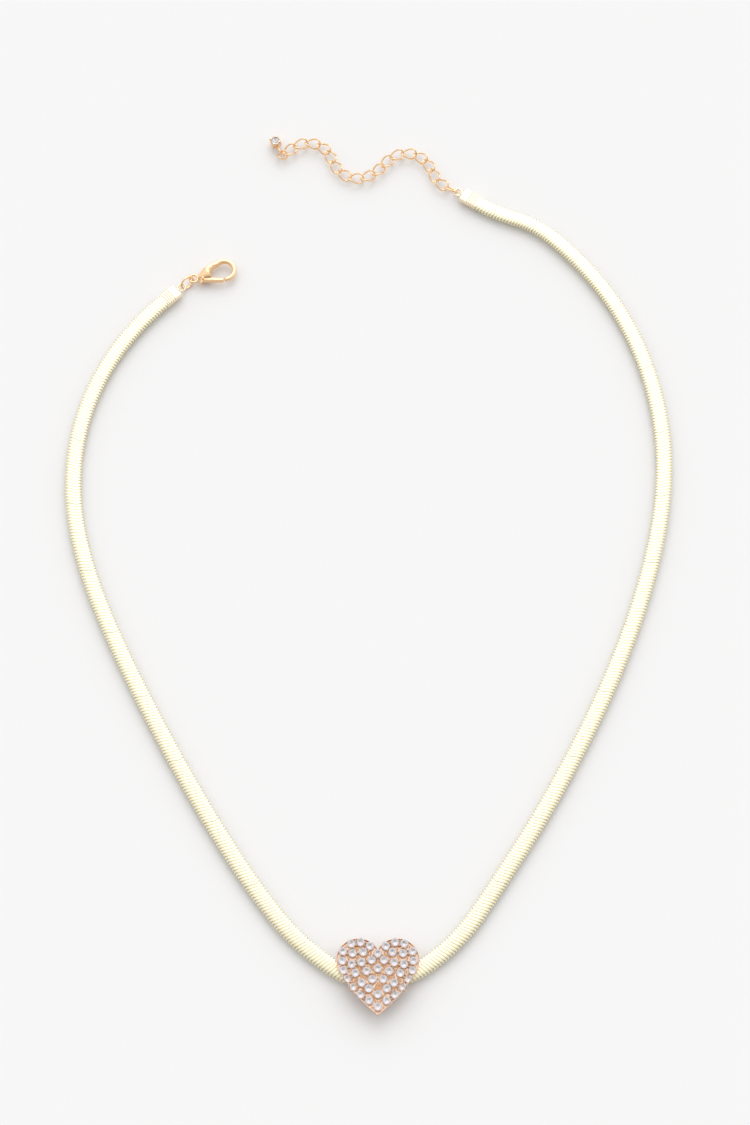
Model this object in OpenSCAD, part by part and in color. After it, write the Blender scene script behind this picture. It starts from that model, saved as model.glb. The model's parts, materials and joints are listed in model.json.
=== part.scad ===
// Pendant necklace: a flat snake chain with a stone-set heart that slides on it,
// a lobster clasp on one end and an extender chain with a small stone drop on the other.
// It lies flat, face up: +X to the wearer's left, +Y towards the neck, +Z out of the face.

/* [Flat chain] */
// Width of the flat chain
chain_w = 3.5; // [3.2:0.1:4.2]
// Thickness of the flat chain
chain_t = 1.2; // [1:0.05:1.5]
// Length of each flexing stretch of the chain
stretch_len = 15.6; // [13:0.1:20]
// Radius of the bend that the pendant slides on
bend_r = 16.5; // [14:0.1:20]
// Half angle of that bend, in degrees
bend_half = 34; // [30:0.5:38]
// Bevel along the edges of the chain
chain_bevel = 0.25; // [0.1:0.05:0.35]

/* [Flex joints] */
// Radius of the round tongue of a joint that flexes sideways
side_tongue_r = 1; // [0.7:0.05:1.2]
// Width of that tongue's neck
side_neck = 1; // [0.6:0.05:1.2]
// Swing each way of a joint that flexes sideways, in degrees
side_swing = 12; // [6:1:15]
// Radius of the round tongue of a joint that flexes up and down
rise_tongue_r = 0.3; // [0.22:0.01:0.34]
// Thickness of that tongue's neck
rise_neck = 0.24; // [0.16:0.01:0.3]
// Swing each way of a joint that flexes up and down, in degrees
rise_swing = 25; // [10:1:30]
// Clearance in the flex joints
flex_play = 0.04; // [0.03:0.01:0.06]

/* [Heart pendant] */
// Diameter of a stone in the heart
stone_d = 1.68; // [1.4:0.02:2.1]
// Space between neighbouring stones
stone_gap = 0.26; // [0.22:0.01:0.4]
// Thickness of the heart's setting
heart_t = 1.3; // [1.1:0.05:1.8]
// Radius of a bead between the stones
bead_r = 0.19; // [0.14:0.01:0.22]
// Clearance between the chain and the pendant's loops
slide_gap = 0.2; // [0.15:0.01:0.3]
// Thickness of the loops behind the pendant
bail_t = 0.5; // [0.4:0.05:0.7]
// Angle of the bend that one loop covers
bail_span = 5; // [3:0.5:6]
// Angle from the middle of the pendant to the middle of a loop
bail_at = 14; // [11:0.5:16]

/* [End caps] */
// Length of an end cap
cap_len = 4.3; // [3.6:0.1:5.5]
// Width of an end cap
cap_w = 3.4; // [3.3:0.1:4.4]
// Wall of an end cap above and below the chain
cap_wall = 0.25; // [0.2:0.01:0.35]
// Width of the chain's end that the cap grips
tail_w = 2.8; // [2.4:0.1:2.9]
// Radius of a cap's loop, to the middle of its wire
cap_loop_r = 0.85; // [0.8:0.05:1]
// Wire diameter of a cap's loop
cap_loop_wire = 0.4; // [0.3:0.02:0.44]

/* [Extender chain] */
// Outer length of a link
link_len = 3.76; // [3.4:0.02:4.5]
// Outer width of a link
link_wid = 2.7; // [2.5:0.02:3.2]
// Wire diameter of a link
link_wire = 0.38; // [0.3:0.01:0.46]
// Slack between two links
link_slack = 0.12; // [0.1:0.01:0.2]
// Rise of a link's twist above its wire's diameter
link_lift = 0.1; // [0.05:0.01:0.12]

/* [Clasp] */
// Wire diameter of the jump ring on the clasp
jump_wire = 0.45; // [0.36:0.01:0.5]
// Outer radius of the clasp's hook
hook_r = 2.8; // [2.5:0.1:3.2]
// Wire diameter of the clasp's hook
hook_wire = 1; // [0.8:0.05:1.1]
// Distance from the clasp's eye to the middle of its hook
hook_at = 7; // [6.8:0.1:8]
// Thickness of the clasp's body
clasp_t = 2.4; // [2.2:0.05:2.6]
// Thickness of the lever
lever_t = 1.1; // [0.9:0.05:1.2]
// Diameter of the pin that the lever turns on
pin_d = 0.6; // [0.5:0.05:0.7]

/* [Drop] */
// Diameter of the stone in the drop
drop_stone_d = 2.4; // [2:0.1:3]
// Height of the drop's setting
drop_h = 1.4; // [1.2:0.1:2]

/* [Hidden] */
LEFT_COUNT = 11;
RIGHT_COUNT = 14;
LINK_COUNT = 17;
// A name with a two-digit number, so that the pieces sort in order
function numbered(base, i) = str(base, i < 10 ? "_0" : "_", i);

// Turn of each stretch, outwards from the bend, in degrees
left_turns = [-18, -5.5, -2.5, -2, -2, -3.5, -8.5, -14, -16, -15.5, -15.5];
right_turns = [22, 1.5, 3.5, 2.5, 4, 4.5, 6, 10, 12, 11.5, 13, 13, 24, -14];
// The last two stretches on the right are this share of the others' length
SHORT = 0.6;
// Headings of the connector ring and then of each extender link, as they lie
connector_heading = 156;
link_headings = [140, 110, 120, 145, 175, 205, 230, 225, 205, 175, 145, 120, 110, 140, 170, 200, 227];
// Headings of the jump ring, of the clasp and of the drop's ring
jump_heading = 44;
clasp_heading = 17;
drop_ring_heading = 197;
// Stones of the heart's outline and inside it, right half, in stone spacings
stones_right = [
    [0.82, 2.95], [1.78, 3.36], [2.72, 3.2], [3.58, 2.4], [3.68, 1.4], [3.55, 0.4],
    [3.14, -0.5], [2.55, -1.36], [1.77, -2.15], [0.9, -2.75],
    [2.6, 2.2], [1.52, 2.32], [2.68, 1.04], [1.68, 1.24], [0.64, 1.48],
    [2.32, 0.12], [1.16, 0.32], [1.66, -0.9], [0.55, -0.52], [0.93, -1.5]];
// Stones on the heart's middle line, in stone spacings
stones_middle = [[0, 2.18], [0, 0.6], [0, -2.1], [0, -3.4]];

spacing = stone_d + stone_gap;
bead_clear = 0.03;
root_len = 0.4;
mouth_margin = 3;
eps = 0.01;
big = 30;

chain_z = bail_t + slide_gap + chain_t / 2;
heart_z = chain_z + chain_t / 2 + slide_gap;
heart_top = heart_z + heart_t;
left_lens = [for (i = [1:LEFT_COUNT]) stretch_len];
right_lens = [for (i = [1:RIGHT_COUNT]) i > RIGHT_COUNT - 2 ? SHORT * stretch_len : stretch_len];

// Places along the chain: a frame is [x, y, heading]
function chord(len, turn) = turn == 0 ? len : len * sin(turn / 2) / (turn / 2 * PI / 180);
function go(f, len, turn = 0) = [
    f[0] + chord(len, turn) * cos(f[2] + turn / 2),
    f[1] + chord(len, turn) * sin(f[2] + turn / 2),
    f[2] + turn];
function facing(f, heading) = [f[0], f[1], heading];
function walk(f, lens, turns, i = 0) = i == len(turns) ? [f]
    : concat([f], walk(go(f, lens[i], turns[i]), lens, turns, i + 1));

bend_end_x = bend_r * sin(bend_half);
bend_end_y = bend_r * (1 - cos(bend_half));
left_path = walk([-bend_end_x, bend_end_y, 180 - bend_half], left_lens, left_turns);
right_path = walk([bend_end_x, bend_end_y, bend_half], right_lens, right_turns);
left_end = left_path[LEFT_COUNT];
right_end = right_path[RIGHT_COUNT];

// Rings and links, each half length measured to the middle of its wire
link_a = (link_len - link_wire) / 2;
link_b = (link_wid - link_wire) / 2;
link_rise = link_wire + link_lift;
link_hold = link_wire + link_slack;
cap_loop_at = cap_len + cap_loop_r;
jump_a = 1.6;
jump_b = 1.2;
jump_tilt = 60;
jump_hold = jump_wire + 0.28;
connector_wire = 0.42;
connector_a = 1.5;
connector_b = 1.1;
connector_tilt = 50;
connector_hold = connector_wire + 0.26;
eye_r = 0.92;
eye_wire = 0.5;

// Each contact is the place where one ring hangs in the next
jump_contact = facing(go(go(left_end, cap_loop_at), cap_loop_r - jump_hold / 2), jump_heading);
jump_place = go(jump_contact, jump_a - jump_hold / 2);
clasp_contact = facing(go(jump_place, jump_a - jump_hold / 2), clasp_heading);
clasp_place = go(clasp_contact, eye_r - jump_hold / 2);

connector_contact = facing(
    go(go(right_end, cap_loop_at), cap_loop_r - connector_hold / 2), connector_heading);
connector_place = go(connector_contact, connector_a - connector_hold / 2);
first_contact = go(connector_place, connector_a - link_hold / 2);
function link_chain(f, i = 0) = i == LINK_COUNT ? [f]
    : let (turned = facing(f, link_headings[i]))
        concat([turned], link_chain(go(turned, 2 * link_a - link_hold), i + 1));
link_contacts = link_chain(first_contact);

drop_ring_a = 1.05;
drop_ring_b = 1;
drop_ring_rise = 0.45;
drop_loop_r = 0.7;
drop_loop_tilt = 75;
drop_ring_contact = facing(link_contacts[LINK_COUNT], drop_ring_heading);
drop_ring_place = go(drop_ring_contact, drop_ring_a - link_hold / 2);
drop_heading = drop_ring_heading - 82;
drop_contact = go(facing(drop_ring_place, drop_heading), drop_ring_b - link_hold / 2);
drop_place = go(drop_contact, drop_loop_r - link_hold / 2);
drop_at = drop_loop_r + drop_stone_d / 2 + 0.65;
drop_stone_place = go(drop_place, drop_at);

// The heart's outline: two round lobes and two long curved sides that meet at the tip
heart_y = 0.85;
lobe_x = 2 * spacing;
lobe_r = 2.3 * spacing;
lobe_y = 1.5 * spacing;
tip_y = -4.27 * spacing;
tip_slope = 38;
tip_in = [-sin(tip_slope), cos(tip_slope)];
tip_to_lobe = [lobe_x, lobe_y - tip_y];
side_r = (tip_to_lobe * tip_to_lobe - pow(lobe_r, 2)) / (2 * (tip_to_lobe * tip_in - lobe_r));
side_centre = [0, tip_y] + side_r * tip_in;
meet_dir = ([lobe_x, lobe_y] - side_centre) / (side_r - lobe_r);
stones = concat(
    stones_middle * spacing,
    stones_right * spacing,
    [for (p = stones_right) [-p[0], p[1]] * spacing]);

// The middle of the whole necklace's outline, so that it ends up over the origin
path_xy = concat(left_path, right_path);
low_y = heart_y + tip_y;
high_y = drop_stone_place[1] + drop_stone_d / 2;
mid_x = (min([for (f = path_xy) f[0]]) + max([for (f = path_xy) f[0]])) / 2;
mid_y = (low_y + high_y) / 2;

module placed() {
    translate([-mid_x, -mid_y, 0]) children();
}

module at_frame(f, z = 0) {
    translate([f[0], f[1], z]) rotate(f[2]) children();
}

// Section of the flat chain, across and up, with bevelled edges
module chain_section() {
    w = chain_w / 2;
    t = chain_t / 2;
    b = chain_bevel;
    translate([0, chain_z])
        polygon([[w - b, -t], [w, b - t], [w, t - b], [w - b, t],
            [b - w, t], [-w, t - b], [-w, b - t], [b - w, -t]]);
}

// A length of chain that starts before a frame by a lead and turns steadily after it
module chain_arc(f, len, turn, lead) {
    r = len / (abs(turn) * PI / 180);
    lead_turn = lead / len * abs(turn);
    at_frame(f)
        translate([0, turn > 0 ? r : -r, 0])
            rotate(turn > 0 ? -90 - lead_turn : 90 + turn)
                rotate_extrude(angle = abs(turn) + lead_turn, $fn = 360) translate([r, 0]) chain_section();
}

// Flat shapes of a flex joint, with its pivot at the origin and the chain going on along +X
module tongue_shape(end_r, tongue_r, neck) {
    circle(tongue_r, $fn = 48);
    translate([-end_r - root_len, -neck / 2]) square([end_r + root_len, neck]);
}

module socket_shape(end_r, tongue_r, neck, swing) {
    mouth = asin(neck / 2 / tongue_r) + swing + mouth_margin;
    reach = 1.3 * end_r / cos(mouth);
    circle(tongue_r + flex_play, $fn = 48);
    polygon([[0, 0], [-reach * cos(mouth), reach * sin(mouth)],
        [-reach * cos(mouth), -reach * sin(mouth)]]);
}

module seat_shape(end_r) {
    circle(end_r + flex_play, $fn = 96);
    translate([-0.2 * end_r, -2 * end_r]) square([4 * end_r, 4 * end_r]);
}

module corner_shape(end_r) {
    difference() {
        translate([-2 * end_r, -2 * end_r]) square([2 * end_r, 4 * end_r]);
        circle(end_r, $fn = 96);
    }
}

// A flat joint shape made solid, thinner or wider than the chain by the given amount a side:
// about Z for a joint that flexes sideways, about Y for one that flexes up and down
module solid_shape(kind, extra) {
    if (kind == "side")
        translate([0, 0, chain_z - chain_t / 2 - extra])
            linear_extrude(chain_t + 2 * extra) children();
    if (kind == "rise")
        translate([0, chain_w / 2 + extra, chain_z]) rotate([90, 0, 0])
            linear_extrude(chain_w + 2 * extra) children();
}

function end_r(kind) = kind == "side" ? chain_w / 2 + 0.05 : chain_t / 2 + 0.03;
function tongue_r(kind) = kind == "side" ? side_tongue_r : rise_tongue_r;
function neck(kind) = kind == "side" ? side_neck : rise_neck;
function swing(kind) = kind == "side" ? side_swing : rise_swing;
function inset(kind) = kind == "side" ? 0.1 : chain_bevel + 0.05;

module joint_tongue(kind) {
    solid_shape(kind, -inset(kind)) tongue_shape(end_r(kind), tongue_r(kind), neck(kind));
}

module joint_seat(kind) {
    solid_shape(kind, 1) seat_shape(end_r(kind));
}

module joint_socket(kind) {
    solid_shape(kind, 1) {
        socket_shape(end_r(kind), tongue_r(kind), neck(kind), swing(kind));
        corner_shape(end_r(kind));
    }
}

// Odd joints from the bend flex sideways, even ones up and down
function joint_kind(i) = i % 2 == 1 ? "side" : "rise";

module chain_stretch(path, lens, turns, i, count) {
    start = path[i - 1];
    end = path[i];
    last = i == count;
    color("palegoldenrod") placed() {
        difference() {
            chain_arc(start, lens[i - 1], turns[i - 1], end_r(joint_kind(i)));
            at_frame(start) joint_socket(joint_kind(i));
            if (!last) at_frame(end) joint_seat(joint_kind(i + 1));
        }
        if (!last) at_frame(end) joint_tongue(joint_kind(i + 1));
        if (last) at_frame(end) chain_tail();
    }
}

// The narrow end of the chain that a cap grips
cap_back = 0.8;
cap_play = 0.05;
tail_t = chain_t - 0.2;
tail_len = cap_len - cap_back - cap_play;
module chain_tail() {
    translate([-root_len, -tail_w / 2, chain_z - tail_t / 2]) cube([tail_len + root_len, tail_w, tail_t]);
}

module chain_middle() {
    color("palegoldenrod") placed() {
        difference() {
            translate([0, bend_r, 0]) rotate(-90 - bend_half)
                rotate_extrude(angle = 2 * bend_half, $fn = 360) translate([bend_r, 0]) chain_section();
            at_frame(left_path[0]) joint_seat("side");
            at_frame(right_path[0]) joint_seat("side");
        }
        at_frame(left_path[0]) joint_tongue("side");
        at_frame(right_path[0]) joint_tongue("side");
    }
}

// The heart's outline: two lobes, a middle and two long curved sides
module heart_shape() {
    meet = [lobe_x, lobe_y] + lobe_r * meet_dir;
    fill = meet - [1, 1];
    for (side = [-1, 1]) translate([side * lobe_x, lobe_y]) circle(lobe_r, $fn = 96);
    polygon([fill, [lobe_x, lobe_y], [-lobe_x, lobe_y], [-fill[0], fill[1]]]);
    intersection() {
        translate(side_centre) circle(side_r, $fn = 360);
        translate([-side_centre[0], side_centre[1]]) circle(side_r, $fn = 360);
        translate([-meet[0] - 1, tip_y - 1]) square([2 * meet[0] + 2, meet[1] - tip_y + 1]);
    }
}

seat_r = stone_d / 2 - 0.12;
stone_lift = 0.1;
stone_belt = 0.12;
crown_h = 0.4;
module heart_setting() {
    color("burlywood") placed() translate([0, heart_y, 0]) difference() {
        translate([0, 0, heart_z]) linear_extrude(heart_t) heart_shape();
        for (p = stones)
            translate([p[0], p[1], heart_top - 0.75]) cylinder(h = 2, r = seat_r, $fn = 32);
    }
}

// A round brilliant stone: a point below, a narrow belt and a flat table on top
module stone(d, depth, crown) {
    r = d / 2;
    rotate_extrude($fn = 32)
        polygon([
            [0, -depth], [r, 0], [r, stone_belt],
            [0.6 * r, stone_belt + crown], [0, stone_belt + crown]
        ]);
}

module heart_stones() {
    color("lavenderblush") placed() translate([0, heart_y, heart_top + stone_lift])
        for (p = stones) translate(p) stone(stone_d, 0.6, crown_h);
}

// Beads go where two neighbouring stones leave room for one
bead_off = stone_d / 2 + bead_r + bead_clear;
function bead_pair(p, q) = let (d = norm(q - p), m = (p + q) / 2, h = sqrt(pow(bead_off, 2) - d * d / 4))
    [for (s = [-1, 1]) m + s * h / d * [p[1] - q[1], q[0] - p[0]]];
function has_room(b) = min([for (p = stones) norm(p - b)]) > bead_off - eps;
bead_spots = [for (i = [0:len(stones) - 2]) for (j = [i + 1:len(stones) - 1])
    if (norm(stones[i] - stones[j]) < 1.35 * spacing)
        for (b = bead_pair(stones[i], stones[j])) if (has_room(b)) b];
function keep_beads(i = 0, kept = []) = i == len(bead_spots) ? kept
    : keep_beads(i + 1, min(concat([big], [for (k = kept) norm(k - bead_spots[i])])) > 2 * bead_r + 0.05
        ? concat(kept, [bead_spots[i]]) : kept);

module heart_beads() {
    color("burlywood") placed() translate([0, heart_y, heart_top])
        for (b = keep_beads()) translate(b) rotate_extrude($fn = 24) intersection() {
            circle(bead_r, $fn = 24);
            square(bead_r);
        }
}

// One loop behind the pendant, around the chain's bend
module bail(at) {
    across = chain_w / 2 + slide_gap;
    color("burlywood") placed() translate([0, bend_r, 0]) rotate(-90 + at - bail_span / 2)
        rotate_extrude(angle = bail_span, $fn = 360) translate([bend_r, 0]) {
            translate([-across - bail_t, 0]) square([2 * (across + bail_t), bail_t]);
            translate([-across - bail_t, 0]) square([bail_t, heart_z]);
            translate([across, 0]) square([bail_t, heart_z]);
        }
}

module torus(r, wire) {
    rotate_extrude($fn = 48) translate([r, 0]) circle(wire / 2, $fn = 24);
}

// An end cap folded over the chain's end, with ridges across it and a loop
ridge_h = 0.12;
ridge_w = 0.35;
module end_cap(end) {
    cap_t = tail_t + 2 * cap_wall;
    color("burlywood") placed() at_frame(end, chain_z) {
        difference() {
            translate([cap_play, -cap_w / 2, -cap_t / 2]) cube([cap_len - cap_play, cap_w, cap_t]);
            translate([-1, -tail_w / 2 - cap_play, -tail_t / 2])
                cube([tail_len + cap_play + 1, tail_w + 2 * cap_play, tail_t]);
        }
        for (x = [0.45, 1.15, 1.85])
            translate([x, -cap_w / 2, cap_t / 2 - eps]) cube([ridge_w, cap_w, ridge_h + eps]);
        translate([cap_loop_at, 0, 0]) torus(cap_loop_r, cap_loop_wire);
    }
}

// A closed ring of wire: a long by b wide, rising and falling twice around
RING_STEPS = 28;
WIRE_SIDES = 8;
function unit(v) = v / norm(v);
function wire_skin(p, t, r) = let (n = unit(cross(t, [0, 0, 1])), b = cross(unit(t), n))
    [for (j = [0:WIRE_SIDES - 1]) p + r * (cos(j * 360 / WIRE_SIDES) * n + sin(j * 360 / WIRE_SIDES) * b)];
module wire_ring(a, b, rise, wire) {
    points = [for (i = [0:RING_STEPS - 1]) let (u = i * 360 / RING_STEPS)
        each wire_skin([a * cos(u), b * sin(u), rise * sin(2 * u)],
            [-a * sin(u), b * cos(u), 2 * rise * cos(2 * u)], wire / 2)];
    faces = [for (i = [0:RING_STEPS - 1]) for (j = [0:WIRE_SIDES - 1])
        let (k = (i + 1) % RING_STEPS, m = (j + 1) % WIRE_SIDES)
        [i * WIRE_SIDES + j, k * WIRE_SIDES + j, k * WIRE_SIDES + m, i * WIRE_SIDES + m]];
    polyhedron(points, faces);
}

module jump_ring() {
    color("sandybrown") placed() at_frame(jump_place, chain_z)
        rotate([jump_tilt, 0, 0]) wire_ring(jump_a, jump_b, 0, jump_wire);
}

module connector_ring() {
    color("sandybrown") placed() at_frame(connector_place, chain_z)
        rotate([connector_tilt, 0, 0]) wire_ring(connector_a, connector_b, 0, connector_wire);
}

module link(i) {
    color("sandybrown") placed() at_frame(go(link_contacts[i - 1], link_a - link_hold / 2), chain_z)
        wire_ring(link_a, link_b, link_rise, link_wire);
}

// The clasp, drawn with its eye at the origin and its hook along +X
pivot = [1.9, -0.85];
lever_tip = [hook_at - 1.05, -hook_r + hook_wire / 2];
lever_play = 0.1;
slot_top = -0.08;
module clasp_solid() {
    torus(eye_r, eye_wire);
    translate([eye_r, -0.4, -0.5]) cube([0.8, 0.9, 1]);
    translate([0, 0, -clasp_t / 2]) linear_extrude(clasp_t) {
        translate([2.4, 0.3]) circle(1.35, $fn = 64);
        translate(pivot) circle(0.75, $fn = 48);
    }
    translate([0, 0, -0.8]) linear_extrude(1.6)
        polygon([
            [2.4, 1.6], [hook_at - 2.2, 2.35], [hook_at - 1.15, 2.3], [hook_at - 1.85, 0.6], [3.3, -0.5]
        ]);
    translate([hook_at, 0, 0]) rotate(-105)
        rotate_extrude(angle = 250, $fn = 96)
            translate([hook_r - hook_wire / 2, 0]) circle(hook_wire / 2, $fn = 32);
}

module clasp_body() {
    color("sandybrown") placed() at_frame(clasp_place, chain_z) difference() {
        clasp_solid();
        translate([1.14, -4, -lever_t / 2 - lever_play])
            cube([hook_at - 2.34, 4 + slot_top, lever_t + 2 * lever_play]);
        translate([pivot[0], pivot[1], -2]) cylinder(h = 4, d = pin_d, $fn = 48);
    }
}

// The lever closes the hook; a recess at its pivot holds the spring's coil
coil_r = 0.42;
coil_wire = 0.12;
recess_t = 0.62;
hub_r = 0.7;
lever_end_r = 0.36;
module clasp_lever() {
    reach = lever_tip - pivot;
    color("sandybrown") placed() at_frame(clasp_place, chain_z) translate([pivot[0], pivot[1], -lever_t / 2])
        rotate(atan2(reach[1], reach[0])) difference() {
            union() {
                cylinder(h = lever_t, r = hub_r, $fn = 48);
                linear_extrude(lever_t) polygon([[0, 0.6], [norm(reach), lever_end_r],
                    [norm(reach), -lever_end_r], [0, -0.5]]);
                translate([norm(reach), 0, 0]) cylinder(h = lever_t, r = lever_end_r + 0.01, $fn = 32);
                rotate(-115) translate([0, -0.3, 0]) cube([1.35, 0.55, lever_t]);
            }
            translate([0, 0, -1]) cylinder(h = lever_t + 2, d = pin_d + 0.1, $fn = 48);
            translate([0, 0, (lever_t - recess_t) / 2])
                cylinder(h = recess_t, r = coil_r + coil_wire, $fn = 48);
        }
}

module clasp_pin() {
    color("sandybrown") placed() at_frame(clasp_place, chain_z)
        translate([pivot[0], pivot[1], -clasp_t / 2]) cylinder(h = clasp_t, d = pin_d, $fn = 48);
}

// The spring: three turns of wire around the pin, inside the lever
COIL_TURNS = 3;
COIL_STEPS = 36;
coil_pitch = 0.16;
module clasp_spring() {
    z0 = -COIL_TURNS * coil_pitch / 2;
    path = [for (s = [0:COIL_STEPS]) let (u = s * 360 * COIL_TURNS / COIL_STEPS)
        [coil_r * cos(u), coil_r * sin(u), z0 + s * COIL_TURNS * coil_pitch / COIL_STEPS]];
    skin = [for (s = [0:COIL_STEPS]) each wire_skin(path[s],
        path[min(s + 1, COIL_STEPS)] - path[max(s - 1, 0)], coil_wire / 2)];
    last = COIL_STEPS * WIRE_SIDES;
    walls = [for (s = [0:COIL_STEPS - 1]) for (j = [0:WIRE_SIDES - 1]) let (m = (j + 1) % WIRE_SIDES)
        [s * WIRE_SIDES + j, (s + 1) * WIRE_SIDES + j, (s + 1) * WIRE_SIDES + m, s * WIRE_SIDES + m]];
    ends = [[for (j = [0:WIRE_SIDES - 1]) j], [for (j = [0:WIRE_SIDES - 1]) last + WIRE_SIDES - 1 - j]];
    color("silver") placed() at_frame(clasp_place, chain_z) translate([pivot[0], pivot[1], 0])
        polyhedron(skin, concat(walls, ends));
}

module drop_ring() {
    color("sandybrown") placed() at_frame(drop_ring_place, chain_z)
        wire_ring(drop_ring_a, drop_ring_b, drop_ring_rise, link_wire);
}

// The drop's cup, with four prongs over the stone's edge and a tilted loop
prong_d = 0.4;
cup_wall = 0.22;
module drop_setting() {
    r = drop_stone_d / 2;
    base_z = -drop_h / 2;
    color("sandybrown") placed() at_frame(drop_place, chain_z) {
        rotate([drop_loop_tilt, 0, 0]) torus(drop_loop_r, link_wire);
        translate([drop_loop_r, -0.2, -0.2]) cube([0.75, 0.4, 0.4]);
        translate([drop_at, 0, base_z]) {
            difference() {
                cylinder(h = drop_h, r = r, $fn = 48);
                translate([0, 0, 0.5]) cylinder(h = drop_h, r = r - cup_wall, $fn = 48);
            }
            for (a = [45:90:315]) rotate(a) translate([r + 0.06 + eps, 0, 0])
                cylinder(h = drop_h + 0.45, d = prong_d, $fn = 24);
        }
    }
}

module drop_stone() {
    r = drop_stone_d / 2;
    color("white") placed() at_frame(drop_place, chain_z)
        translate([drop_at, 0, drop_h / 2 + 0.03]) stone(2 * (r - 0.18), 0.75, 0.45);
}

heart_setting();
heart_beads();
heart_stones();
bail(-bail_at);  // bail_left
bail(bail_at);  // bail_right
chain_middle();
for (i = [1:LEFT_COUNT])
    chain_stretch(left_path, left_lens, left_turns, i, LEFT_COUNT);
for (i = [1:RIGHT_COUNT])
    chain_stretch(right_path, right_lens, right_turns, i, RIGHT_COUNT);
end_cap(left_end);  // end_cap_left
jump_ring();
clasp_body();
clasp_lever();
clasp_pin();
clasp_spring();
end_cap(right_end);  // end_cap_right
connector_ring();
for (i = [1:LINK_COUNT])
    link(i);
drop_ring();
drop_setting();
drop_stone();
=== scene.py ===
"""Looks of a pendant necklace: ribbed chain, stone-set heart, clasp, extender and drop."""

import json
import math
import random

import bpy
import numpy as np
from mathutils import Matrix, Vector


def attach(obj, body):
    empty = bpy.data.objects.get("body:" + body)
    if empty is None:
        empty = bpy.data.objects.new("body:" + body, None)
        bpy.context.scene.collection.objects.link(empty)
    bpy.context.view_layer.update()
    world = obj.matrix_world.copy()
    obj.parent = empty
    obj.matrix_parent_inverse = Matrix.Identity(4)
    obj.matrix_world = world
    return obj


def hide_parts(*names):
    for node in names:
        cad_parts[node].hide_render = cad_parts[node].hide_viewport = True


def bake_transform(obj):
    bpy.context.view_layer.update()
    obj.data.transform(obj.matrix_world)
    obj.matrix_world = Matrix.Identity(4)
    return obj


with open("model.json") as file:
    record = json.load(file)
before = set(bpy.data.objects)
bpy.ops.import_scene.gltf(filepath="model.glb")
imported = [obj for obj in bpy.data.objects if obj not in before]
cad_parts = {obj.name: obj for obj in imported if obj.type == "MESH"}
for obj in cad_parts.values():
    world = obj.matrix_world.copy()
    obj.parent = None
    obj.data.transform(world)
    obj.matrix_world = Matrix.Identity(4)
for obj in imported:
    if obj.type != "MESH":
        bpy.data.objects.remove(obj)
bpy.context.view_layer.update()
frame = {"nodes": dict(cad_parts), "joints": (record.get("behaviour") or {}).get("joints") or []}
random.seed(7)
MM = 0.001

# ---------------------------------------------------------------- camera
TILT = math.radians(22.7)
DISTANCE = 0.584
AIM = Vector((0.0013, -0.0034, 0.0016))
LENS = 88.0
back = Vector((0, -math.sin(TILT), math.cos(TILT)))
camera = bpy.data.objects.new("camera", bpy.data.cameras.new("camera"))
bpy.context.scene.collection.objects.link(camera)
camera.location = AIM + DISTANCE * back
camera.rotation_euler = (TILT, 0, 0)
camera.data.lens = LENS
camera.data.sensor_width = 36.0
camera.data.clip_start = 0.01
camera.data.clip_end = 20.0
bpy.context.scene.camera = camera
bpy.context.scene.view_settings.view_transform = "Standard"

# ---------------------------------------------------------------- sizes, in millimetres
CHAIN_W = 3.5
CHAIN_T = 1.2
CHAIN_Z = 1.3
STRETCH = 15.6
BEND_R = 16.5
BEND_HALF = 34.0
LEFT_TURNS = [-18, -5.5, -2.5, -2, -2, -3.5, -8.5, -14, -16, -15.5, -15.5]
RIGHT_TURNS = [22, 1.5, 3.5, 2.5, 4, 4.5, 6, 10, 12, 11.5, 13, 13, 24, -14]
SHORT = 0.6
RIB = 0.69
CAP_LEN = 4.3
CAP_W = 3.4
CAP_T = 1.5
CAP_LOOP_R = 0.85
CAP_LOOP_WIRE = 0.4
LINK_A = 1.69
LINK_B = 1.16
LINK_RISE = 0.48
LINK_WIRE = 0.38
LINK_HOLD = 0.5
LINKS = 17
SPACING = 1.94
STONE_R = 0.84
HEART_SHIFT = 0.85
HEART_BASE = 2.1
HEART_TOP = 3.4
SEAT_DEPTH = 0.62
BAIL_TURN = 14
BAIL_HALF = 2.5
BAIL_GAP = 0.2
BAIL_T = 0.5

joints = {j["name"]: j for j in frame["joints"]}


def anchor(name):
    """Where a joint is, in millimetres."""
    return np.array(joints[name]["pos_m"]) / MM


BEND_CENTRE = anchor("pendant_slide_on_bend")


# ---------------------------------------------------------------- materials
def node_material(name, colour, metallic, roughness, scale=900.0, tint=0.06, rough_by=0.05):
    """A shader whose colour and roughness wander a little with a fine noise."""
    m = bpy.data.materials.new(name)
    m.use_nodes = True
    tree = m.node_tree
    shader = tree.nodes["Principled BSDF"]
    shader.inputs["Metallic"].default_value = metallic
    noise = tree.nodes.new("ShaderNodeTexNoise")
    noise.inputs["Scale"].default_value = scale
    where = tree.nodes.new("ShaderNodeTexCoord")
    tree.links.new(where.outputs["Object"], noise.inputs["Vector"])
    ramp = tree.nodes.new("ShaderNodeValToRGB")
    dark = [c * (1 - tint) for c in colour]
    ramp.color_ramp.elements[0].color = (*dark, 1)
    ramp.color_ramp.elements[1].color = (*colour, 1)
    tree.links.new(noise.outputs["Fac"], ramp.inputs["Fac"])
    tree.links.new(ramp.outputs["Color"], shader.inputs["Base Color"])
    spread = tree.nodes.new("ShaderNodeMapRange")
    spread.inputs["To Min"].default_value = max(0.02, roughness - rough_by)
    spread.inputs["To Max"].default_value = roughness + rough_by
    tree.links.new(noise.outputs["Fac"], spread.inputs["Value"])
    tree.links.new(spread.outputs["Result"], shader.inputs["Roughness"])
    return m


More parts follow.
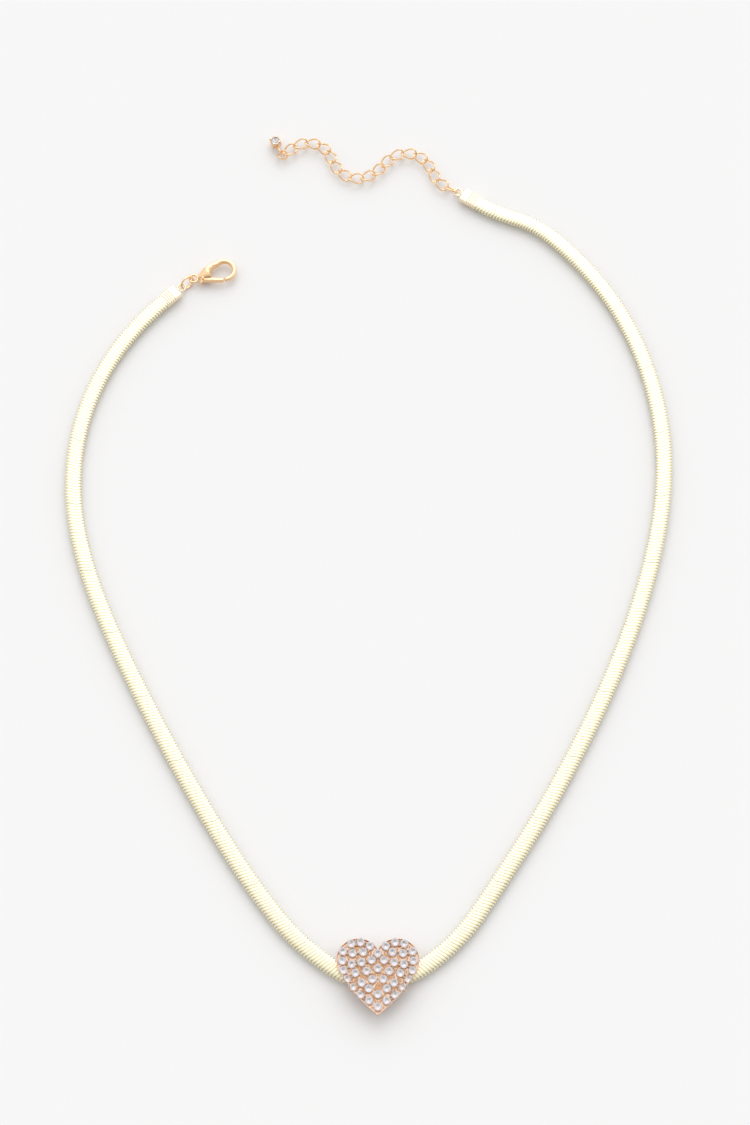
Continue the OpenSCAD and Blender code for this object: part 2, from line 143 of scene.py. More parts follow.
def ribbed_material(name, colour, groove_shade_colour, roughness):
    """Gold with painted shade in the grooves between the ribs: a dark brown mixed in where a mesh
    attribute marks the grooves.
    """
    m = node_material(name, colour, 1.0, roughness)
    tree = m.node_tree
    shader = tree.nodes["Principled BSDF"]
    ramp = next(n for n in tree.nodes if n.type == "VALTORGB")
    groove_shade = tree.nodes.new("ShaderNodeAttribute")
    groove_shade.attribute_name = "groove_shade"
    mix = tree.nodes.new("ShaderNodeMix")
    mix.data_type = "RGBA"
    tree.links.new(groove_shade.outputs["Fac"], mix.inputs["Factor"])
    tree.links.new(ramp.outputs["Color"], mix.inputs["A"])
    # the dark brown is painted shade for the grooves, not the metal's own colour
    mix.inputs["B"].default_value = (*groove_shade_colour, 1)
    tree.links.new(mix.outputs["Result"], shader.inputs["Base Color"])
    return m


# chain gold, with a dark brown painted into the rib grooves as painted shade
chain_gold = ribbed_material("chain_gold", (1.0, 0.95, 0.70), (0.42, 0.28, 0.12), 0.30)
cap_gold = node_material("cap_gold", (1.0, 0.88, 0.66), 1.0, 0.22)
rose_gold = node_material("rose_gold", (0.94, 0.70, 0.55), 1.0, 0.2)
warm_gold = node_material("warm_gold", (1.0, 0.69, 0.40), 1.0, 0.16)
steel = node_material("spring_steel", (0.62, 0.62, 0.62), 1.0, 0.3)
foil = node_material("foil", (0.98, 0.96, 0.98), 1.0, 0.08)
crystal = node_material("crystal", (1.0, 0.985, 0.99), 0.0, 0.02, tint=0.01, rough_by=0.005)
crystal.node_tree.nodes["Principled BSDF"].inputs["Transmission Weight"].default_value = 1.0
crystal.node_tree.nodes["Principled BSDF"].inputs["IOR"].default_value = 1.6


# ---------------------------------------------------------------- mesh helpers
def mesh_object(name, points, faces, materials, face_material=None, smooth=True, groove_shade=None):
    """A new mesh object from points in millimetres in the row frame."""
    mesh = bpy.data.meshes.new(name)
    mesh.from_pydata((np.asarray(points, float) * MM).tolist(), [], [list(f) for f in faces])
    for m in materials:
        mesh.materials.append(m)
    if face_material is not None:
        mesh.polygons.foreach_set("material_index", face_material)
    mesh.polygons.foreach_set("use_smooth", [smooth and len(f) == 4 for f in faces])
    # optional per-point amount of painted shade, used for the chain's grooves
    if groove_shade is not None:
        layer = mesh.attributes.new("groove_shade", "FLOAT", "POINT")
        layer.data.foreach_set("value", np.asarray(groove_shade, np.float32))
    mesh.update()
    o = bpy.data.objects.new(name, mesh)
    bpy.context.scene.collection.objects.link(o)
    return o


def grid_faces(rows, columns, first=0, closed_rows=False):
    """Quads over a grid whose rows are closed loops, with a face over each open end."""
    i = np.arange(rows if closed_rows else rows - 1)[:, None]
    j = np.arange(columns)[None, :]
    k = (i + 1) % rows
    n = (j + 1) % columns
    quads = np.stack(
        [i * columns + j, i * columns + n, k * columns + n, k * columns + j], axis=-1
    )
    faces = (quads.reshape(-1, 4) + first).tolist()
    if not closed_rows:
        faces.append([first + c for c in range(columns)][::-1])
        faces.append([first + (rows - 1) * columns + c for c in range(columns)])
    return faces


class Parts:
    """Gathers several closed shapes into one mesh."""

    def __init__(self):
        self.points = []
        self.faces = []

    def add(self, loops, closed=False, place=None):
        loops = np.asarray(loops, float)
        rows, columns = loops.shape[:2]
        points = loops.reshape(-1, 3)
        if place is not None:
            points = points @ np.array(place.to_3x3()).T + np.array(place.translation)
        self.faces += grid_faces(rows, columns, len(self.points), closed_rows=closed)
        self.points += points.tolist()
        return self

    def build(self, name, material):
        return mesh_object(name, self.points, self.faces, [material])


def at(spot, heading, tilt=0.0):
    """Matrix of a place on the necklace: x along the heading, tilted about that direction."""
    return (
        Matrix.Translation(Vector(spot))
        @ Matrix.Rotation(math.radians(heading), 4, "Z")
        @ Matrix.Rotation(math.radians(tilt), 4, "X")
    )


def section(half_width, half_height, power=2.0, count=16):
    """Closed section, rounder or squarer with the power, as (across, up) points."""
    a = np.linspace(0, 2 * math.pi, count, endpoint=False)
    x = np.sign(np.cos(a)) * np.abs(np.cos(a)) ** (2 / power) * half_width
    y = np.sign(np.sin(a)) * np.abs(np.sin(a)) ** (2 / power) * half_height
    return np.stack([x, y], axis=1)


def wire_loops(path, radius, count=14):
    """Round sections around a closed path of points."""
    path = np.asarray(path, float)
    tangent = np.roll(path, -1, 0) - np.roll(path, 1, 0)
    tangent /= np.linalg.norm(tangent, axis=1)[:, None]
    side = np.cross(tangent, [0, 0, 1.0])
    side /= np.linalg.norm(side, axis=1)[:, None]
    up = np.cross(side, tangent)
    a = np.linspace(0, 2 * math.pi, count, endpoint=False)
    ring = np.cos(a)[None, :, None] * side[:, None] + np.sin(a)[None, :, None] * up[:, None]
    return path[:, None] + radius * ring


def oval(a, b, rise=0.0, steps=56):
    """Closed path of an oval; a rise lifts it like the twist of a curb link."""
    u = np.linspace(0, 2 * math.pi, steps, endpoint=False)
    return np.stack([a * np.cos(u), b * np.sin(u), rise * np.sin(2 * u)], axis=1)


def lathe(profile, count=32):
    """Loops of a turned shape from (radius, height) points."""
    a = np.linspace(0, 2 * math.pi, count, endpoint=False)
    return [[[r * math.cos(t), r * math.sin(t), z] for t in a] for r, z in profile]


def ball(radius, steps=8, low=-0.5):
    """Profile of a ball from a low angle, as a share of a half turn, almost to its top."""
    angles = np.linspace(low * math.pi, 0.49 * math.pi, steps)
    return [(radius * math.cos(t), radius * math.sin(t)) for t in angles]


def sweep(frames, sections):
    """Sections along flat frames [x, y, z, heading]."""
    loops = []
    for (x, y, z, heading), s in zip(frames, sections):
        h = math.radians(heading)
        loops.append([[x - u * math.sin(h), y + u * math.cos(h), z + v] for u, v in s])
    return loops


def finish_piece(o, body, node):
    """Ties a piece to its body and hides the node that it stands for."""
    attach(o, body)
    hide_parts(node)


# ---------------------------------------------------------------- the chain
ROUTE_STEP = 0.05
LEAN = 0.34
LEAN_TURNS_AT = 0.4
EDGE_DROP = 0.06
INTO_CAP = 0.6
ROWS_IN_RIB = [0.0, 0.1, 0.26, 0.5, 0.74, 0.9]


def route(side):
    """Dense frames [distance, x, y, heading] from the middle of the bend outwards on one side."""
    turns = LEFT_TURNS if side < 0 else RIGHT_TURNS
    lengths = [STRETCH] * len(turns)
    if side > 0:
        lengths[-2:] = [SHORT * STRETCH] * 2
    half_bend = BEND_R * math.radians(BEND_HALF)
    legs = [(half_bend, BEND_HALF * side)] + list(zip(lengths, turns)) + [(CAP_LEN, 0.0)]
    x, y = BEND_CENTRE[0], BEND_CENTRE[1] - BEND_R
    heading = 180.0 if side < 0 else 0.0
    distance = 0.0
    dense = [[distance, x, y, heading]]
    for length, turn in legs:
        count = max(2, round(length / ROUTE_STEP))
        for _ in range(count):
            middle = math.radians(heading + turn / count / 2)
            x += length / count * math.cos(middle)
            y += length / count * math.sin(middle)
            heading += turn / count
            distance += length / count
            dense.append([distance, x, y, heading])
    return np.array(dense), half_bend, lengths


def rib_lean(v):
    """How far forward a rib lies at a place across the chain, from -1 to 1."""
    return LEAN * CHAIN_W / 2 * (np.abs(v + LEAN_TURNS_AT) - LEAN_TURNS_AT)


def ribbon(name, dense, start, end, side):
    """A closed length of ribbed chain between two rib numbers."""
    outline = section(CHAIN_W / 2, CHAIN_T / 2, power=3.4, count=36)
    across = outline[:, 0] / (CHAIN_W / 2)
    numbers = [k + p for k in range(start, end) for p in ROWS_IN_RIB] + [float(end)]
    loops, groove_shades = [], []
    for n in numbers:
        phase = n % 1.0
        valley = (1 - math.sin(math.pi * phase)) ** 1.6
        depth = 0.05 + 0.15 * np.abs(across) ** 5
        shrink = 1 - depth * valley / np.hypot(outline[:, 0], outline[:, 1])
        s = n * RIB + rib_lean(across * -side)
        x = np.interp(s, dense[:, 0], dense[:, 1])
        y = np.interp(s, dense[:, 0], dense[:, 2])
        h = np.radians(np.interp(s, dense[:, 0], dense[:, 3]))
        u = outline[:, 0] * shrink
        crown = EDGE_DROP * (1 - across**2)
        z = CHAIN_Z + (outline[:, 1] - np.sign(outline[:, 1]) * (EDGE_DROP - crown)) * shrink
        loops.append(np.stack([x - u * np.sin(h), y + u * np.cos(h), z], axis=1))
        # painted shade for each point: most in the grooves, and more towards the chain's edges
        groove_shades.append(np.clip(valley * (0.45 + 0.55 * np.abs(across) ** 3), 0, 1))
    faces = grid_faces(len(loops), len(across))
    points = np.concatenate(loops)
    return mesh_object(name, points, faces, [chain_gold], groove_shade=np.concatenate(groove_shades))


def build_chain(side):
    """The ribbed pieces of one side, each running over one joint and left free of any body, the
    last one tied to the end body; gives the cap's place.
    """
    word = "left" if side < 0 else "right"
    dense, half_bend, lengths = route(side)
    bodies = ["bend"] + [f"{word}_{i + 1:02d}" for i in range(len(lengths))]
    edges = [0.0, half_bend]
    for length in lengths:
        edges.append(edges[-1] + length)
    cuts = [0] + [round((edges[i] + edges[i + 1]) / 2 / RIB) for i in range(1, len(edges) - 1)]
    last = int((edges[-1] + INTO_CAP) / RIB)
    for i in range(1, len(bodies)):
        o = ribbon(f"ribbed_chain_{word}_{i:02d}", dense, cuts[i - 1], cuts[i], side)
        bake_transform(o)
        nodes = [f"chain_{word}_{i:02d}"]
        if i == 1:
            nodes.append("chain_middle")
        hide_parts(*nodes)
    o = ribbon(f"ribbed_chain_{word}_end", dense, cuts[-1], last, side)
    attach(o, bodies[-1])
    k = np.searchsorted(dense[:, 0], edges[-1])
    return dense[k]


# ---------------------------------------------------------------- caps, rings and links
RIDGES_AT = (0.55, 1.1, 1.65, 2.2)
RIDGE_HALF = 0.13
SHOULDER_AT = 3.9


def build_cap(word, end, body):
    """Folded cap: square section with ridges across it, a tapered shoulder, a tab and a loop."""
    _, x, y, heading = end
    place = at((x, y, CHAIN_Z), heading)
    loops = []
    for s in np.concatenate([[0.05, 0.051], np.linspace(0.1, 3.95, 78), [4.1, 4.2, 4.27, 4.3]]):
        ridge = sum(math.exp(-(((s - r) / RIDGE_HALF) ** 2)) for r in RIDGES_AT)
        taper = 1.0 if s < SHOULDER_AT else 1 - 1.6 * (s - SHOULDER_AT) ** 1.3
        wide = CAP_W / 2 * taper - 0.05 + 0.05 * ridge
        tall = CAP_T / 2 * taper - 0.08 + 0.17 * ridge
        shape = section(wide, tall, power=7.0, count=40)
        loops.append([[s, u, v] for u, v in shape])
    parts = Parts().add(loops, place=place)
    middle = CAP_LEN + CAP_LOOP_R
    ring = wire_loops(oval(CAP_LOOP_R, CAP_LOOP_R) + [middle, 0, 0], CAP_LOOP_WIRE / 2)
    parts.add(ring, closed=True, place=place)
    tab = []
    for s in (3.9, 4.1, 4.3, 4.48):
        shape = section(0.42 - 0.1 * (s - SHOULDER_AT), 0.24, 4, 16)
        tab.append([[s, u, v] for u, v in shape])
    parts.add(tab, place=place)
    finish_piece(parts.build(f"ridged_cap_{word}", cap_gold), body, f"end_cap_{word}")


def ring_between(name, first, second, a, b, tilt, rise, wire, body, node):
    """A ring or link whose middle is halfway between the places where it hangs."""
    middle = (first + second) / 2
    way = second - first
    place = at(middle, math.degrees(math.atan2(way[1], way[0])), tilt)
    loops = wire_loops(oval(a, b, rise), wire / 2)
    o = Parts().add(loops, closed=True, place=place).build(name, warm_gold)
    finish_piece(o, body, node)


def build_rings():
    """The jump ring, the connector ring and the extender's links."""
    ring_between(
        "round_jump_ring", anchor("jump_swing"), anchor("clasp_lift"),
        1.6, 1.2, 60, 0, 0.45, "jump", "jump_ring",
    )
    hooks = ["connector_swing"]
    hooks += [f"link_{i:02d}_{'lift' if i % 2 else 'swing'}" for i in range(1, LINKS + 1)]
    hooks += ["drop_ring_swing"]
    ring_between(
        "round_connector_ring", anchor(hooks[0]), anchor(hooks[1]),
        1.5, 1.1, 50, 0, 0.42, "connector", "connector_ring",
    )
    for i in range(1, LINKS + 1):
        ring_between(
            f"curb_link_{i:02d}", anchor(hooks[i]), anchor(hooks[i + 1]),
            LINK_A, LINK_B, 0, LINK_RISE, LINK_WIRE, f"link_{i:02d}", f"link_{i:02d}",
        )


# ---------------------------------------------------------------- clasp
EYE_R = 0.92
JUMP_HOLD = 0.73
HOOK_AT = 7.0
HOOK_MID_R = 2.3
CLASP_HEADING = 17.0
PIVOT = (1.9, -0.85)
LEVER_TIP = (5.95, -2.3)


def clasp_place():
    """Matrix of the middle of the clasp's eye, x towards the hook."""
    h = math.radians(CLASP_HEADING)
    contact = anchor("clasp_lift")
    out = EYE_R - JUMP_HOLD / 2
    return at(contact + [out * math.cos(h), out * math.sin(h), 0], CLASP_HEADING)


def build_clasp():
    """The clasp's body with its hook, the lever and the rivet."""
    place = clasp_place()
    parts = Parts()
    parts.add(wire_loops(oval(EYE_R, EYE_R), 0.25), closed=True, place=place)
    # bell-shaped body, from its neck at the eye to its open rim
    bell = []
    for s in np.linspace(0, 1, 22):
        x = 1.0 + 2.75 * s
        swell = math.sin(s * math.pi / 2) ** 0.9
        wide = 0.42 + 1.12 * swell
        tall = 0.42 + 0.76 * swell
        y = 0.28 * s
        bell.append([[x, y + u, v] for u, v in section(wide, tall, 2.3, 28)])
    bell.append([[3.62, 0.28 + u, v] for u, v in section(1.3, 0.95, 2.3, 28)])
    bell.append([[3.3, 0.28 + u, v] for u, v in section(1.1, 0.8, 2.3, 28)])
    parts.add(bell, place=place)
    # arm that leaves the bell and runs on as the round hook
    arm = [(2.7, 0.75, 25), (3.4, 1.1, 30), (4.1, 1.5, 30), (4.75, 1.84, 26)]
    frames = [[x, y, 0, h] for x, y, h in arm]
    angles = np.linspace(122, -104, 46)
    for a in angles:
        out = HOOK_MID_R * math.cos(math.radians(a))
        over = HOOK_MID_R * math.sin(math.radians(a))
        frames.append([HOOK_AT + out, over, 0, a - 90])
    sizes = [(0.75, 0.95), (0.85, 0.98), (0.72, 0.9), (0.6, 0.78)]
    for k in range(len(angles)):
        t = k / (len(angles) - 1)
        tip = math.sqrt(max(0.05, 1 - max(0.0, (t - 0.955) / 0.045) ** 2))
        slim = 0.5 + 0.12 * max(0.0, 1 - t / 0.25)
        tall = 0.5 + 0.24 * max(0.0, 1 - t / 0.3)
        sizes.append((slim * tip, tall * tip))
    parts.add(sweep(frames, [section(w, t, 2.6, 20) for w, t in sizes]), place=place)
    finish_piece(parts.build("cast_clasp_body", warm_gold), "clasp", "clasp_body")

    # lever: a tapered bar from the pin to the hook's tip, with a thumb tab behind the pin
    reach = np.array(LEVER_TIP) - np.array(PIVOT)
    length = float(np.hypot(*reach))
    lever_place = place @ at((*PIVOT, 0), math.degrees(math.atan2(reach[1], reach[0])))
    bar = []
    for s in np.linspace(-0.12, 1.09, 26):
        round_off = math.sqrt(max(0.02, 1 - max(0.0, (s - 1.03) / 0.06) ** 2))
        wide = (0.66 - 0.22 * max(0.0, s)) * round_off
        bar.append([[s * length, u, v] for u, v in section(wide, 0.52 * round_off, 3.0, 20)])
    lever = Parts().add(bar, place=lever_place)
    tab_place = lever_place @ Matrix.Rotation(math.radians(-115), 4, "Z")
    tab_sizes = ((-0.1, 0.26, 0.5), (0.5, 0.27, 0.5), (1.0, 0.26, 0.48), (1.25, 0.2, 0.42),
                 (1.34, 0.1, 0.3))
    tab = [[[x, u, v] for u, v in section(w, t, 3.2, 16)] for x, w, t in tab_sizes]
    lever.add(tab, place=tab_place)
    finish_piece(lever.build("sprung_clasp_lever", warm_gold), "lever", "clasp_lever")

    # rivet with low domed heads
    rivet = [(0.02, -1.19), (0.2, -1.17), (0.32, -1.08), (0.29, -0.9),
             (0.29, 0.9), (0.32, 1.08), (0.2, 1.17), (0.02, 1.19)]
    pin = Parts().add(lathe(rivet, 24), place=place @ at((*PIVOT, 0), 0))
    finish_piece(pin.build("domed_clasp_rivet", warm_gold), "clasp", "clasp_pin")


# ---------------------------------------------------------------- stones
def brilliant(radius, crown, belt, depth, table=0.58):
    """A round brilliant with its belt's lower edge at height 0: points, faces with the
    pavilion's last, and how many faces come before those."""
    def ring(r, z, count, turn=0.0):
        return [(r * math.cos(2 * math.pi * (i + turn) / count),
                 r * math.sin(2 * math.pi * (i + turn) / count), z) for i in range(count)]

    top = ring(table * radius, belt + crown, 8)
    mid = ring(0.79 * radius, belt + 0.55 * crown, 8, 0.5)
    girdle = ring(radius, belt, 16)
    low = ring(radius, 0.0, 16)
    keel = ring(0.28 * radius, -0.74 * depth, 8, 0.5)
    points = top + mid + girdle + low + keel + [(0, 0, -depth)]
    t, m, g, w, k, tip = 0, 8, 16, 32, 48, 56
    faces = [list(range(8))]
    for i in range(8):
        n = (i + 1) % 8
        faces.append([t + i, m + i, t + n])
        faces.append([t + i, m + (i - 1) % 8, g + 2 * i, m + i])
        faces.append([m + i, g + 2 * i, g + 2 * i + 1])
        faces.append([m + i, g + 2 * i + 1, g + (2 * i + 2) % 16])
    for i in range(16):
        n = (i + 1) % 16
        faces.append([g + i, w + i, w + n, g + n])
    crown_faces = len(faces)
    for i in range(8):
        n = (i + 1) % 8
        faces.append([w + 2 * i, k + i, w + 2 * i + 1])
        faces.append([w + 2 * i + 1, k + i, w + (2 * i + 2) % 16])
        faces.append([k + i, w + 2 * i, k + (i - 1) % 8])
        faces.append([k + i, k + (i - 1) % 8, tip])
    return points, faces, crown_faces


def islands(node):
    """Centres of the separate solids in a CAD node, as (x, y) in millimetres."""
    mesh = frame["nodes"][node].data
    spots = {}
    index = []
    for v in mesh.vertices:
        key = tuple(round(c / 2e-6) for c in v.co)
        index.append(spots.setdefault(key, len(spots)))
    root = list(range(len(spots)))

    def find(i):
        while root[i] != i:
            root[i] = root[root[i]]
            i = root[i]
        return i

    for p in mesh.polygons:
        first = find(index[p.vertices[0]])
        for v in p.vertices[1:]:
            root[find(index[v])] = first
    groups = {}
    for v, i in zip(mesh.vertices, index):
        groups.setdefault(find(i), []).append(v.co)
    centres = []
    for members in groups.values():
        xs = [c.x for c in members]
        ys = [c.y for c in members]
        centres.append(((min(xs) + max(xs)) / 2 / MM, (min(ys) + max(ys)) / 2 / MM))
    return sorted(centres)


def stones_object(name, spots, radius, crown, belt, depth, height, lean):
    """Clear stones with foiled backs at (x, y) spots, each turned and leaning a little."""
    points, faces, kinds = [], [], []
    base, base_faces, crown_faces = brilliant(radius, crown, belt, depth)
    for x, y in spots:
        turn = Matrix.Rotation(random.uniform(0, math.pi / 4), 4, "Z")
        tip_x = Matrix.Rotation(math.radians(random.uniform(-lean, lean)), 4, "X")
        tip_y = Matrix.Rotation(math.radians(random.uniform(-lean, lean)), 4, "Y")
        place = Matrix.Translation((x, y, height)) @ tip_x @ tip_y @ turn
        first = len(points)
        points += [tuple(place @ Vector(p)) for p in base]
        faces += [[first + i for i in f] for f in base_faces]
        kinds += [0] * crown_faces + [1] * (len(base_faces) - crown_faces)
    return mesh_object(name, points, faces, [crystal, foil], face_material=kinds, smooth=False)


# ---------------------------------------------------------------- heart
HEART_MIDDLE = (BEND_CENTRE[0], BEND_CENTRE[1] - BEND_R + HEART_SHIFT)


def arc_points(centre, r, start, end, steps):
    """Points along an arc, from one angle to another."""
    angles = np.linspace(start, end, steps)
    return [centre + r * np.array([math.cos(a), math.sin(a)]) for a in angles]


def heart_outline(inset, steps=40):
    """The heart's outline around its own middle, drawn in by an inset, as one closed loop."""
    lobe_x, lobe_y, lobe_r = 2 * SPACING, 1.5 * SPACING, 2.3 * SPACING
    tip_y = -4.27 * SPACING
    slope = math.radians(38)
    inward = np.array([-math.sin(slope), math.cos(slope)])
    to_lobe = np.array([lobe_x, lobe_y - tip_y])
    side_r = (to_lobe @ to_lobe - lobe_r**2) / (2 * (to_lobe @ inward - lobe_r))
    centre = np.array([0, tip_y]) + side_r * inward
    lobe = np.array([lobe_x, lobe_y])
    meet = (lobe - centre) / (side_r - lobe_r)
    r = side_r - inset
    low = math.atan2(-math.sqrt(r**2 - centre[0] ** 2), -centre[0])
    high = math.atan2(meet[1], meet[0])
    right = arc_points(centre, r, low, high, steps)
    r = lobe_r - inset
    notch = math.acos(-lobe_x / r)
    right += arc_points(lobe, r, high, notch, steps)[1:]
    left = [np.array([-p[0], p[1]]) for p in right[-2:0:-1]]
    return np.array(right + left)


def grain_spots(taken, step=0.44):
    """Places for small grains in the gaps between the stones, clear of the heart's edge."""
    edge = heart_outline(0.42) + HEART_MIDDLE
    before, after = edge, np.roll(edge, -1, 0)
    spots = []
    low, high = edge.min(0), edge.max(0)
    for row, y in enumerate(np.arange(low[1], high[1], step * 0.87)):
        for x in np.arange(low[0] + (row % 2) * step / 2, high[0], step):
            spot = np.array([x, y]) + [random.uniform(-0.05, 0.05), random.uniform(-0.05, 0.05)]
            crosses = (before[:, 1] > spot[1]) != (after[:, 1] > spot[1])
            run = (spot[1] - before[crosses, 1]) / (after[crosses, 1] - before[crosses, 1])
            meets = before[crosses, 0] + run * (after[crosses, 0] - before[crosses, 0])
            if np.sum(meets > spot[0]) % 2 == 0:
                continue
            if min(np.hypot(*(spot - t[:2])) - t[2] for t in taken) > 0:
                spots.append(spot)
    return spots


def build_heart():
    """The heart's plate with its seats, the beads and grains, and the stones."""
    cx, cy = HEART_MIDDLE
    wall = [
        (0.55, HEART_BASE), (0.22, HEART_BASE + 0.02), (0.08, HEART_BASE + 0.14),
        (0.0, HEART_BASE + 0.4), (0.0, HEART_TOP - 0.1), (0.03, HEART_TOP + 0.02),
        (0.1, HEART_TOP + 0.07), (0.17, HEART_TOP + 0.04), (0.2, HEART_TOP - 0.06),
        (0.22, HEART_TOP - 0.3), (0.24, HEART_TOP - SEAT_DEPTH),
    ]
    loops = []
    for inset, z in wall:
        loops.append([[cx + p[0], cy + p[1], z] for p in heart_outline(inset)])
    parts = Parts().add(loops)
    stones = islands("heart_stones")
    seat = [(STONE_R - 0.2, -SEAT_DEPTH), (STONE_R + 0.03, -SEAT_DEPTH), (STONE_R + 0.05, -0.05),
            (STONE_R + 0.02, 0.08), (STONE_R - 0.05, 0.05), (STONE_R - 0.14, -0.1)]
    for x, y in stones:
        parts.add(lathe(seat, 28), closed=True, place=at((x, y, HEART_TOP), 0))
    finish_piece(parts.build("heart_plate", rose_gold), "pendant", "heart_setting")

    beads = Parts()
    posts = islands("heart_beads")
    taken = [(x, y, STONE_R + 0.2) for x, y in stones] + [(x, y, 0.36) for x, y in posts]
    grain = [(0.13, -SEAT_DEPTH), (0.13, -0.12)] + ball(0.16, low=-0.2)
    for x, y in grain_spots(taken):
        beads.add(lathe(grain, 12), place=at((x, y, HEART_TOP - 0.02), 0))
    post = [(0.15, -SEAT_DEPTH), (0.15, -0.1)] + ball(0.19, low=-0.2)
    for x, y in posts:
        beads.add(lathe(post, 14), place=at((x, y, HEART_TOP + 0.05), 0))
    o = beads.build("heart_grain_beads", warm_gold)
    finish_piece(o, "pendant", "heart_beads")

    height = HEART_TOP + 0.1
    o = stones_object("heart_cut_stones", stones, STONE_R, 0.38, 0.1, 0.6, height, 3.0)
    finish_piece(o, "pendant", "heart_stones")


def build_bail(word, side):
    """Flat band of rounded section behind the heart, around the chain's bend."""
    middle = -90 + side * BAIL_TURN
    low = BAIL_T / 2
    out = CHAIN_W / 2 + BAIL_GAP + low
    top = HEART_BASE + 0.1
    corner = 0.35
    cut = 0.3 * corner
    path = [(-out, top), (-out, low + corner), (-out + cut, low + cut), (-out + corner, low),
            (out - corner, low), (out - cut, low + cut), (out, low + corner), (out, top)]
    half = BAIL_HALF * BEND_R * math.pi / 180
    loops = []
    for k, (r, z) in enumerate(path):
        before = path[max(0, k - 1)]
        after = path[min(len(path) - 1, k + 1)]
        way = math.atan2(after[1] - before[1], after[0] - before[0])
        loop = []
        for u, v in section(half, 0.24, 4.0, 20):
            radius = BEND_R + r - v * math.sin(way)
            angle = math.radians(middle) + u / BEND_R
            x = BEND_CENTRE[0] + radius * math.cos(angle)
            y = BEND_CENTRE[1] + radius * math.sin(angle)
            loop.append([x, y, z + v * math.cos(way)])
        loops.append(loop)
    o = Parts().add(loops).build(f"heart_bail_{word}", rose_gold)
    finish_piece(o, "pendant", f"bail_{word}")


# ---------------------------------------------------------------- drop
DROP_RING_A = 1.05
DROP_RING_B = 1.0
DROP_LOOP_R = 0.7
DROP_R = 1.2
DROP_RING_RISE = 0.45
DROP_TURN = -82.0
DROP_RING_HEADING = 197.0
DROP_LOOP_TILT = 75.0


def build_drop():
    """The small ring, the drop's cup with its loop and prongs, and its stone."""
    h = math.radians(DROP_RING_HEADING)
    first = anchor("drop_ring_swing")
    out = DROP_RING_A - LINK_HOLD / 2
    middle = first + [out * math.cos(h), out * math.sin(h), 0]
    loops = wire_loops(oval(DROP_RING_A, DROP_RING_B, DROP_RING_RISE), LINK_WIRE / 2)
    ring = Parts().add(loops, closed=True, place=at(middle, DROP_RING_HEADING))
    finish_piece(ring.build("small_drop_ring", warm_gold), "drop_ring", "drop_ring")

    heading = DROP_RING_HEADING + DROP_TURN
    h = math.radians(heading)
    contact = anchor("drop_lift")
    out = DROP_LOOP_R - LINK_HOLD / 2
    place = at(contact + [out * math.cos(h), out * math.sin(h), 0], heading)
    tilt = Matrix.Rotation(math.radians(DROP_LOOP_TILT), 4, "X")
    loop = wire_loops(oval(DROP_LOOP_R, DROP_LOOP_R), LINK_WIRE / 2)
    parts = Parts().add(loop, closed=True, place=place @ tilt)
    bead = place @ at((DROP_LOOP_R + 0.3, 0, 0), 0)
    parts.add(lathe(ball(0.36), 20), place=bead)
    cup = place @ at((DROP_LOOP_R + DROP_R + 0.65, 0, 0), 0)
    profile = [(0.3, -0.7), (0.85, -0.68), (1.08, -0.5), (1.18, -0.1), (1.2, 0.55), (1.17, 0.66),
               (1.08, 0.68), (1.02, 0.6), (0.98, 0.2), (0.8, -0.1), (0.2, -0.2)]
    parts.add(lathe(profile, 40), place=cup)
    # prongs as round sections of (distance out, height, radius), from the foot to the tip
    rounds = [(1.24, -0.62, 0.13), (1.26, -0.1, 0.17), (1.26, 0.5, 0.18),
              (1.23, 0.82, 0.19), (1.13, 1.0, 0.18), (0.98, 1.07, 0.12)]
    around = np.linspace(0, 2 * math.pi, 12, endpoint=False)
    loops = [[[x + r * math.cos(a), r * math.sin(a), z] for a in around] for x, z, r in rounds]
    for angle in range(45, 360, 90):
        parts.add(loops, place=cup @ Matrix.Rotation(math.radians(angle), 4, "Z"))
    finish_piece(parts.build("prong_set_drop", warm_gold), "drop", "drop_setting")
    spot = cup.translation
    height = CHAIN_Z + 0.73
    o = stones_object(
        "drop_cut_stone", [(spot.x, spot.y)], DROP_R - 0.16, 0.42, 0.12, 0.75, height, 1.0,
    )
    finish_piece(o, "drop", "drop_stone")


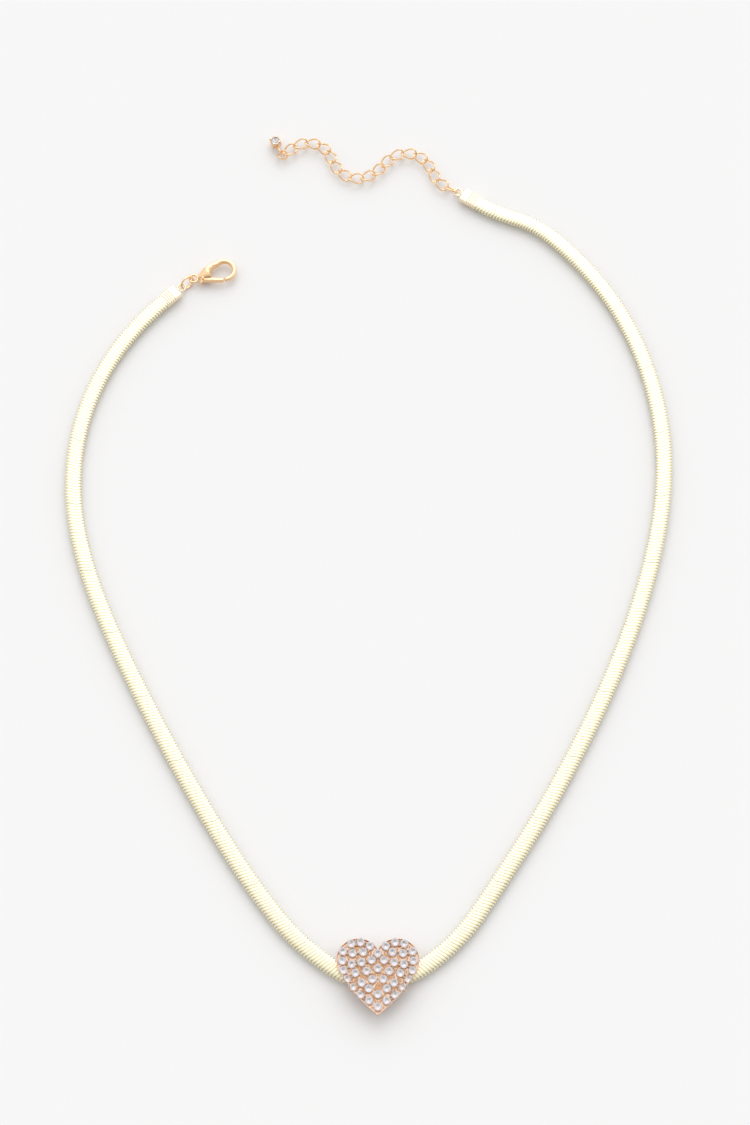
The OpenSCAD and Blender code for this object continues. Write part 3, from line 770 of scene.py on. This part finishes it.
# ---------------------------------------------------------------- floor and light
def build_surroundings():
    """White paper to the horizon, a wide soft light and a sky that is darker at one side."""
    side = 3.0
    mesh = bpy.data.meshes.new("floor")
    corners = [(-side, -side, 0), (side, -side, 0), (side, side, 0), (-side, side, 0)]
    mesh.from_pydata(corners, [], [(0, 1, 2, 3)])
    floor = bpy.data.objects.new("floor", mesh)
    bpy.context.scene.collection.objects.link(floor)
    white = (0.888, 0.888, 0.890)
    paper = node_material("paper", white, 0.0, 0.9, scale=20.0, tint=0.004, rough_by=0.02)
    paper.node_tree.nodes["Principled BSDF"].inputs["Specular IOR Level"].default_value = 0.0
    mesh.materials.append(paper)

    sun = bpy.data.objects.new("softbox", bpy.data.lights.new("softbox", "SUN"))
    sun.data.energy = 0.95
    sun.data.angle = math.radians(50)
    sun.rotation_euler = (math.radians(-50), math.radians(4), 0)
    bpy.context.scene.collection.objects.link(sun)

    world = bpy.data.worlds.new("studio")
    bpy.context.scene.world = world
    world.use_nodes = True
    tree = world.node_tree
    sky = tree.nodes["Background"]
    where = tree.nodes.new("ShaderNodeTexCoord")
    split = tree.nodes.new("ShaderNodeSeparateXYZ")
    tree.links.new(where.outputs["Generated"], split.inputs["Vector"])
    ramp = tree.nodes.new("ShaderNodeValToRGB")
    ramp.color_ramp.elements[0].position = 0.12
    ramp.color_ramp.elements[0].color = (0.42, 0.40, 0.39, 1)
    ramp.color_ramp.elements[1].position = 0.55
    ramp.color_ramp.elements[1].color = (1.0, 1.0, 1.0, 1)
    spread = tree.nodes.new("ShaderNodeMapRange")
    spread.inputs["From Min"].default_value = -1.0
    tree.links.new(split.outputs["Y"], spread.inputs["Value"])
    tree.links.new(spread.outputs["Result"], ramp.inputs["Fac"])
    tree.links.new(ramp.outputs["Color"], sky.inputs["Color"])
    sky.inputs["Strength"].default_value = 1.05


left_end = build_chain(-1)
right_end = build_chain(1)
build_cap("left", left_end, "left_11")
build_cap("right", right_end, "right_14")
build_rings()
build_clasp()
build_heart()
build_bail("left", -1)
build_bail("right", 1)
build_drop()
spring = frame["nodes"]["clasp_spring"]
spring.data.materials.clear()
spring.data.materials.append(steel)
build_surroundings()
